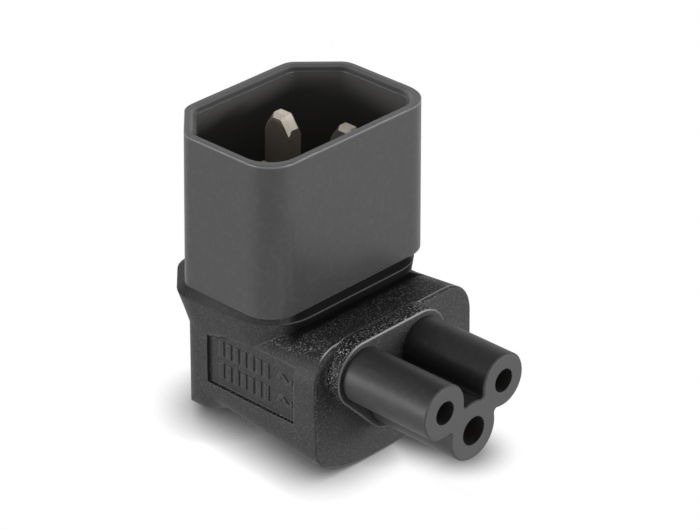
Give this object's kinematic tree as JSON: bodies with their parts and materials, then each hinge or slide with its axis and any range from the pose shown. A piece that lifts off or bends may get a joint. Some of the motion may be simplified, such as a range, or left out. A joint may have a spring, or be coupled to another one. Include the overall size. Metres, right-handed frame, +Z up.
{
  "type": "iec power adapter",
  "caption": "Right-angle mains adapter: a shrouded C14 inlet with flat pins stands on a moulded block, and a cloverleaf C5 connector leaves the block's front at right angles.",
  "frame": {"origin": "Centre of the bounding box in X and Y, on the surface that the block rests on (Z = 0).", "axes": "+Z runs up along the C14 inlet's axis and out of its mouth. The C5 connector points to -Y, so +Y is the back of the block with the inlet's chamfered side and earth pin. X is the width."},
  "size_m": [0.0296, 0.0422, 0.0391],
  "materials": {
    "overmould_plastic": "black moulded PVC with a fine sparkling grain, satin",
    "shroud_plastic": "black polyamide, smooth satin with light polish on the rim",
    "nose_plastic": "black polyamide, smooth satin",
    "inner_plastic": "grey unpainted filler moulding",
    "nickel_plate": "nickel-plated brass with a warm tint",
    "contact_brass": "spring brass, bright",
    "line_insulation": "brown wire insulation",
    "neutral_insulation": "blue wire insulation",
    "earth_insulation": "green wire insulation"
  },
  "bodies": {
    "root": {"overmould": "overmould_plastic", "inlet_shroud": "shroud_plastic", "outlet_nose": "nose_plastic", "outlet_cap": "nose_plastic", "inner_moulding": "inner_plastic", "line_pin": "nickel_plate", "neutral_pin": "nickel_plate", "earth_pin": "nickel_plate", "line_contact": "contact_brass", "neutral_contact": "contact_brass", "earth_contact": "contact_brass", "line_wire": "line_insulation", "neutral_wire": "neutral_insulation", "earth_wire": "earth_insulation"}
  },
  "joints": []
}
